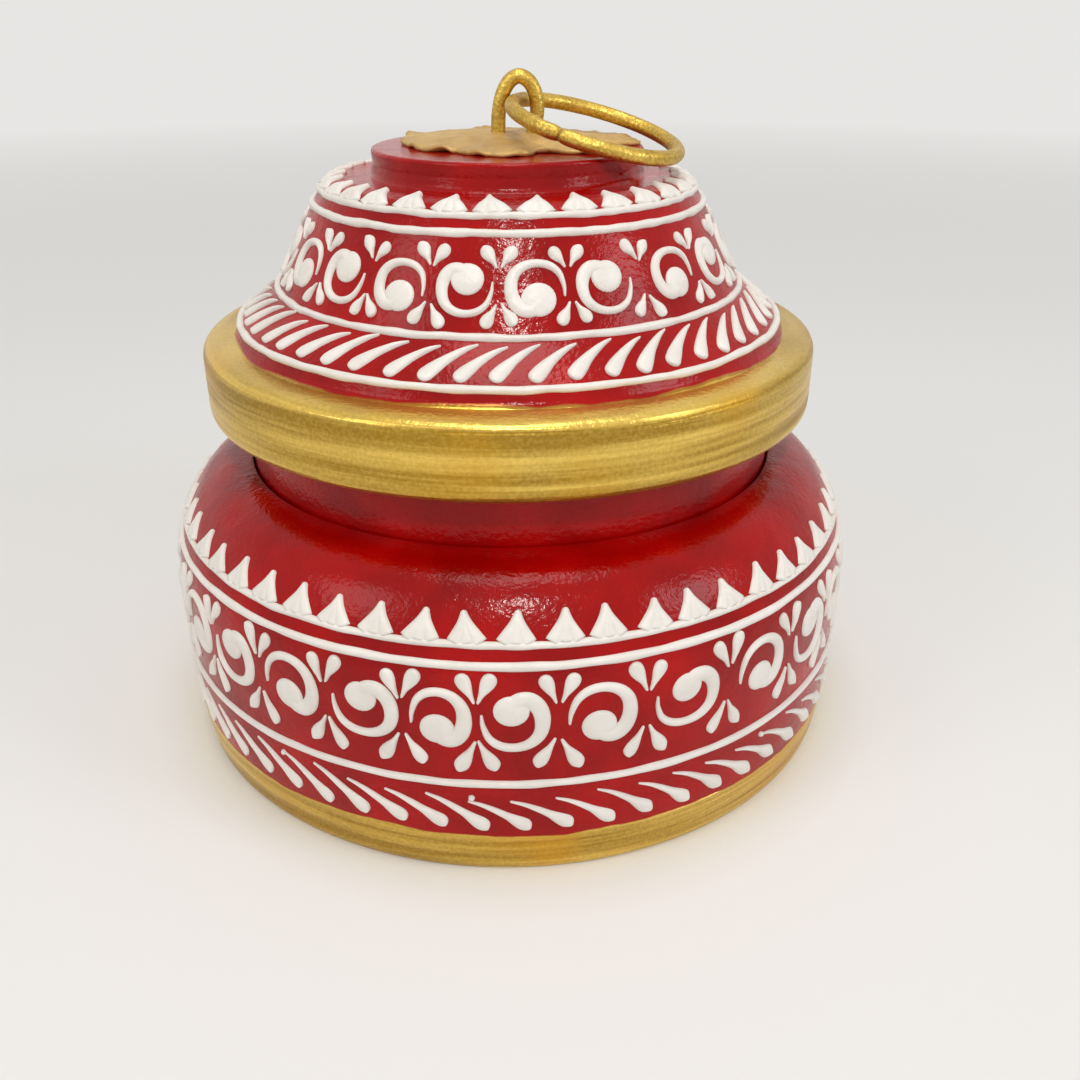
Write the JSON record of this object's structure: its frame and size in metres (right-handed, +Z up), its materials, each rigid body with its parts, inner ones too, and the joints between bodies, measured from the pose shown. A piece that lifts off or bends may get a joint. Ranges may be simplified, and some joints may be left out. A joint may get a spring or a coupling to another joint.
{
  "type": "kumkum box",
  "caption": "Round turned wooden powder box with a bellied pot, a domed stopper lid with a thick flange, raised painted scrollwork, and a pull ring in a wire eye.",
  "frame": {"origin": "centre of the foot, on the table", "axes": "+Z up along the turning axis, front towards -Y, +X to the right seen from the front"},
  "size_m": [0.0894, 0.0894, 0.0807],
  "materials": {
    "red_lacquer": "glossy red lacquer over turned wood, with gold paint on the flange and the foot",
    "white_paint": "off-white cone paint, raised and softly glossy",
    "gold_putty": "matte tan-gold paint over putty",
    "brass_wire": "gold-painted wire, flaky"
  },
  "bodies": {
    "pot_body": {"pot": "red_lacquer", "pot_border_teeth": "white_paint", "pot_border_line": "white_paint", "pot_upper_line": "white_paint", "pot_scrolls": "white_paint", "pot_scroll_drops": "white_paint", "pot_lower_line": "white_paint", "pot_slanted_drops": "white_paint"},
    "lid_body": {"lid": "red_lacquer", "wire_eye": "brass_wire", "gold_putty": "gold_putty", "lid_border_teeth": "white_paint", "lid_border_line": "white_paint", "lid_upper_line": "white_paint", "lid_scrolls": "white_paint", "lid_scroll_drops": "white_paint", "lid_waist_line": "white_paint", "lid_slanted_drops": "white_paint", "lid_skirt_line": "white_paint"},
    "ring_body": {"pull_ring": "brass_wire"}
  },
  "joints": [
    {"name": "lid_lift", "type": "slide", "parent": "pot_body", "child": "lid_body", "axis": [0, 0, 1], "range_m": [0, 0.03]},
    {"name": "ring_swing", "type": "hinge", "parent": "lid_body", "child": "ring_body", "pos_m": [0.00122, 0, 0.0772], "axis": [-0.3241, -0.9458, -0.0184], "range_deg": [0, 208]}
  ]
}
